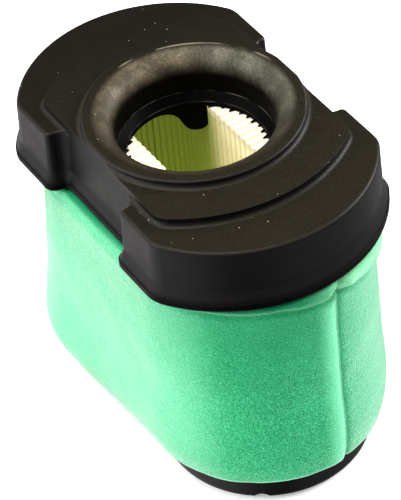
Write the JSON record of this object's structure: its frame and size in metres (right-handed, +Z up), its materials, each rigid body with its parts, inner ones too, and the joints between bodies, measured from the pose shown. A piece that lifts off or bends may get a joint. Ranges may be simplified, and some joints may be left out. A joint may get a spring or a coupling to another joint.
{
  "type": "oval air filter cartridge",
  "caption": "Oval pleated-paper air filter cartridge with moulded rubber end caps, a round top outlet and a slip-off foam pre-cleaner sleeve.",
  "frame": {"origin": "middle of the base, on the surface the cartridge stands on", "axes": "+X along the long axis towards the rounded end with the foam seam, +Y across the narrow width, +Z up, out of the round outlet"},
  "size_m": [0.1526, 0.0968, 0.1285],
  "materials": {
    "urethane": "satin black moulded urethane",
    "paper": "matte cream filter paper",
    "paper_glue": "off-white hot-melt plugs between the pleats",
    "foam": "matte mint green open-cell foam",
    "seam_glue": "matte bonded foam seam"
  },
  "bodies": {
    "sleeve": {"foam_sleeve": "foam", "foam_seam": "seam_glue"},
    "cartridge": {"top_cap": "urethane", "seal_tab": "urethane", "pleat_seal": "paper_glue", "bottom_cap": "urethane", "paper_bank_near": "paper", "paper_bank_far": "paper", "paper_end_front": "paper", "paper_end_back": "paper"}
  },
  "joints": [
    {"name": "sleeve_slide", "type": "slide", "parent": "sleeve", "child": "cartridge", "axis": [0, 0, 1], "range_m": [0, 0.1]}
  ]
}
